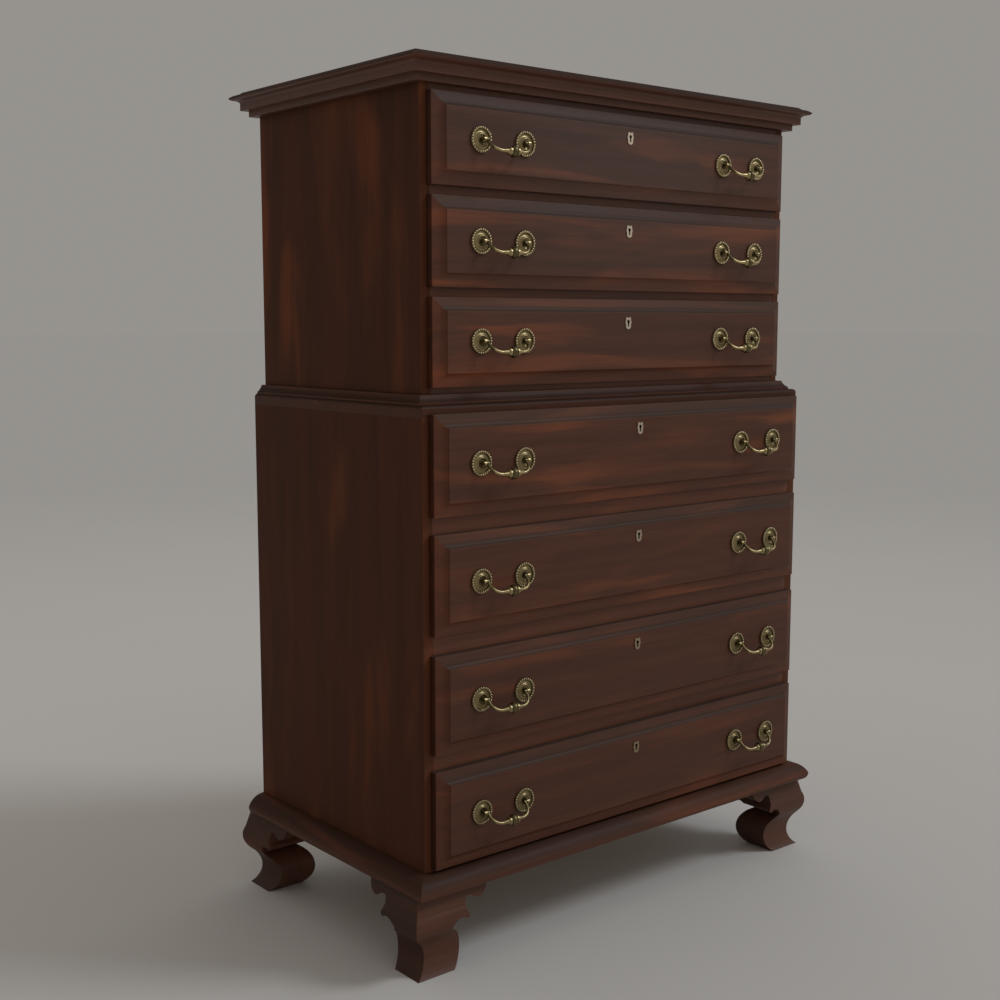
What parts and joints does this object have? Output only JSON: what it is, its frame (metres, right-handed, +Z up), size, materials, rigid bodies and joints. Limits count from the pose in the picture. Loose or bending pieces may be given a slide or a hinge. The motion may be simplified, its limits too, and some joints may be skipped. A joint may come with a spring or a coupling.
{
  "type": "chest-on-chest",
  "caption": "Tall two-part chest of drawers with raised-field lipped fronts, brass drop handles, a stepped cornice and ogee bracket feet.",
  "frame": {"origin": "on the floor, under the middle of the whole chest", "axes": "+Z up, -Y out of the drawers towards the person who opens them, +X to that person's right"},
  "size_m": [0.968, 0.6056, 1.4485],
  "materials": {
    "case_wood": "satin",
    "moulding_wood": "satin",
    "front_wood": "satin",
    "inner_wood": "matte",
    "brass": "aged satin",
    "steel": "brushed"
  },
  "bodies": {
    "carcass": {"upper_left_side": "case_wood", "upper_right_side": "case_wood", "upper_bottom_board": "case_wood", "upper_back_panel": "inner_wood", "upper_rails": "case_wood", "waist_moulding": "moulding_wood", "cornice_moulding": "moulding_wood", "cap_board": "case_wood", "lower_left_side": "case_wood", "lower_right_side": "case_wood", "lower_top_board": "case_wood", "lower_bottom_board": "inner_wood", "lower_back_panel": "inner_wood", "lower_rails": "case_wood", "base_moulding": "moulding_wood", "front_feet": "moulding_wood", "rear_feet": "moulding_wood", "drawer_runners": "inner_wood"},
    "drawer_1": {"drawer_1_front": "front_wood", "drawer_1_box": "inner_wood", "drawer_1_brasses": "brass"},
    "drawer_1_bail_left": {"drawer_1_bail_left": "brass"},
    "drawer_1_bail_right": {"drawer_1_bail_right": "brass"},
    "drawer_1_lock_bolt": {"drawer_1_lock_bolt": "steel"},
    "drawer_2": {"drawer_2_front": "front_wood", "drawer_2_box": "inner_wood", "drawer_2_brasses": "brass"},
    "drawer_2_bail_left": {"drawer_2_bail_left": "brass"},
    "drawer_2_bail_right": {"drawer_2_bail_right": "brass"},
    "drawer_2_lock_bolt": {"drawer_2_lock_bolt": "steel"},
    "drawer_3": {"drawer_3_front": "front_wood", "drawer_3_box": "inner_wood", "drawer_3_brasses": "brass"},
    "drawer_3_bail_left": {"drawer_3_bail_left": "brass"},
    "drawer_3_bail_right": {"drawer_3_bail_right": "brass"},
    "drawer_3_lock_bolt": {"drawer_3_lock_bolt": "steel"},
    "drawer_4": {"drawer_4_front": "front_wood", "drawer_4_box": "inner_wood", "drawer_4_brasses": "brass"},
    "drawer_4_bail_left": {"drawer_4_bail_left": "brass"},
    "drawer_4_bail_right": {"drawer_4_bail_right": "brass"},
    "drawer_4_lock_bolt": {"drawer_4_lock_bolt": "steel"},
    "drawer_5": {"drawer_5_front": "front_wood", "drawer_5_box": "inner_wood", "drawer_5_brasses": "brass"},
    "drawer_5_bail_left": {"drawer_5_bail_left": "brass"},
    "drawer_5_bail_right": {"drawer_5_bail_right": "brass"},
    "drawer_5_lock_bolt": {"drawer_5_lock_bolt": "steel"},
    "drawer_6": {"drawer_6_front": "front_wood", "drawer_6_box": "inner_wood", "drawer_6_brasses": "brass"},
    "drawer_6_bail_left": {"drawer_6_bail_left": "brass"},
    "drawer_6_bail_right": {"drawer_6_bail_right": "brass"},
    "drawer_6_lock_bolt": {"drawer_6_lock_bolt": "steel"},
    "drawer_7": {"drawer_7_front": "front_wood", "drawer_7_box": "inner_wood", "drawer_7_brasses": "brass"},
    "drawer_7_bail_left": {"drawer_7_bail_left": "brass"},
    "drawer_7_bail_right": {"drawer_7_bail_right": "brass"},
    "drawer_7_lock_bolt": {"drawer_7_lock_bolt": "steel"}
  },
  "joints": [
    {"name": "drawer_1_slide", "type": "slide", "parent": "carcass", "child": "drawer_1", "axis": [0, -1, 0], "range_m": [0, 0.36]},
    {"name": "drawer_1_bail_left_swing", "type": "hinge", "parent": "drawer_1", "child": "drawer_1_bail_left", "pos_m": [-0.281, -0.2446, 1.32625], "axis": [-1, 0, 0], "range_deg": [-42, 95]},
    {"name": "drawer_1_bail_right_swing", "type": "hinge", "parent": "drawer_1", "child": "drawer_1_bail_right", "pos_m": [0.281, -0.2446, 1.32625], "axis": [-1, 0, 0], "range_deg": [-42, 95]},
    {"name": "drawer_1_lock_bolt_throw", "type": "slide", "parent": "drawer_1", "child": "drawer_1_lock_bolt", "axis": [0, 0, 1], "range_m": [0, 0.008]},
    {"name": "drawer_2_slide", "type": "slide", "parent": "carcass", "child": "drawer_2", "axis": [0, -1, 0], "range_m": [0, 0.36]},
    {"name": "drawer_2_bail_left_swing", "type": "hinge", "parent": "drawer_2", "child": "drawer_2_bail_left", "pos_m": [-0.281, -0.2446, 1.17075], "axis": [-1, 0, 0], "range_deg": [-42, 95]},
    {"name": "drawer_2_bail_right_swing", "type": "hinge", "parent": "drawer_2", "child": "drawer_2_bail_right", "pos_m": [0.281, -0.2446, 1.17075], "axis": [-1, 0, 0], "range_deg": [-42, 95]},
    {"name": "drawer_2_lock_bolt_throw", "type": "slide", "parent": "drawer_2", "child": "drawer_2_lock_bolt", "axis": [0, 0, 1], "range_m": [0, 0.008]},
    {"name": "drawer_3_slide", "type": "slide", "parent": "carcass", "child": "drawer_3", "axis": [0, -1, 0], "range_m": [0, 0.36]},
    {"name": "drawer_3_bail_left_swing", "type": "hinge", "parent": "drawer_3", "child": "drawer_3_bail_left", "pos_m": [-0.281, -0.2446, 1.01525], "axis": [-1, 0, 0], "range_deg": [-42, 95]},
    {"name": "drawer_3_bail_right_swing", "type": "hinge", "parent": "drawer_3", "child": "drawer_3_bail_right", "pos_m": [0.281, -0.2446, 1.01525], "axis": [-1, 0, 0], "range_deg": [-42, 95]},
    {"name": "drawer_3_lock_bolt_throw", "type": "slide", "parent": "drawer_3", "child": "drawer_3_lock_bolt", "axis": [0, 0, 1], "range_m": [0, 0.008]},
    {"name": "drawer_4_slide", "type": "slide", "parent": "carcass", "child": "drawer_4", "axis": [0, -1, 0], "range_m": [0, 0.36]},
    {"name": "drawer_4_bail_left_swing", "type": "hinge", "parent": "drawer_4", "child": "drawer_4_bail_left", "pos_m": [-0.3075, -0.2766, 0.82575], "axis": [-1, 0, 0], "range_deg": [-42, 95]},
    {"name": "drawer_4_bail_right_swing", "type": "hinge", "parent": "drawer_4", "child": "drawer_4_bail_right", "pos_m": [0.3075, -0.2766, 0.82575], "axis": [-1, 0, 0], "range_deg": [-42, 95]},
    {"name": "drawer_4_lock_bolt_throw", "type": "slide", "parent": "drawer_4", "child": "drawer_4_lock_bolt", "axis": [0, 0, 1], "range_m": [0, 0.008]},
    {"name": "drawer_5_slide", "type": "slide", "parent": "carcass", "child": "drawer_5", "axis": [0, -1, 0], "range_m": [0, 0.36]},
    {"name": "drawer_5_bail_left_swing", "type": "hinge", "parent": "drawer_5", "child": "drawer_5_bail_left", "pos_m": [-0.3075, -0.2766, 0.63825], "axis": [-1, 0, 0], "range_deg": [-42, 95]},
    {"name": "drawer_5_bail_right_swing", "type": "hinge", "parent": "drawer_5", "child": "drawer_5_bail_right", "pos_m": [0.3075, -0.2766, 0.63825], "axis": [-1, 0, 0], "range_deg": [-42, 95]},
    {"name": "drawer_5_lock_bolt_throw", "type": "slide", "parent": "drawer_5", "child": "drawer_5_lock_bolt", "axis": [0, 0, 1], "range_m": [0, 0.008]},
    {"name": "drawer_6_slide", "type": "slide", "parent": "carcass", "child": "drawer_6", "axis": [0, -1, 0], "range_m": [0, 0.36]},
    {"name": "drawer_6_bail_left_swing", "type": "hinge", "parent": "drawer_6", "child": "drawer_6_bail_left", "pos_m": [-0.3075, -0.2766, 0.44625], "axis": [-1, 0, 0], "range_deg": [-42, 95]},
    {"name": "drawer_6_bail_right_swing", "type": "hinge", "parent": "drawer_6", "child": "drawer_6_bail_right", "pos_m": [0.3075, -0.2766, 0.44625], "axis": [-1, 0, 0], "range_deg": [-42, 95]},
    {"name": "drawer_6_lock_bolt_throw", "type": "slide", "parent": "drawer_6", "child": "drawer_6_lock_bolt", "axis": [0, 0, 1], "range_m": [0, 0.008]},
    {"name": "drawer_7_slide", "type": "slide", "parent": "carcass", "child": "drawer_7", "axis": [0, -1, 0], "range_m": [0, 0.36]},
    {"name": "drawer_7_bail_left_swing", "type": "hinge", "parent": "drawer_7", "child": "drawer_7_bail_left", "pos_m": [-0.3075, -0.2766, 0.25875], "axis": [-1, 0, 0], "range_deg": [-42, 95]},
    {"name": "drawer_7_bail_right_swing", "type": "hinge", "parent": "drawer_7", "child": "drawer_7_bail_right", "pos_m": [0.3075, -0.2766, 0.25875], "axis": [-1, 0, 0], "range_deg": [-42, 95]},
    {"name": "drawer_7_lock_bolt_throw", "type": "slide", "parent": "drawer_7", "child": "drawer_7_lock_bolt", "axis": [0, 0, 1], "range_m": [0, 0.008]}
  ]
}
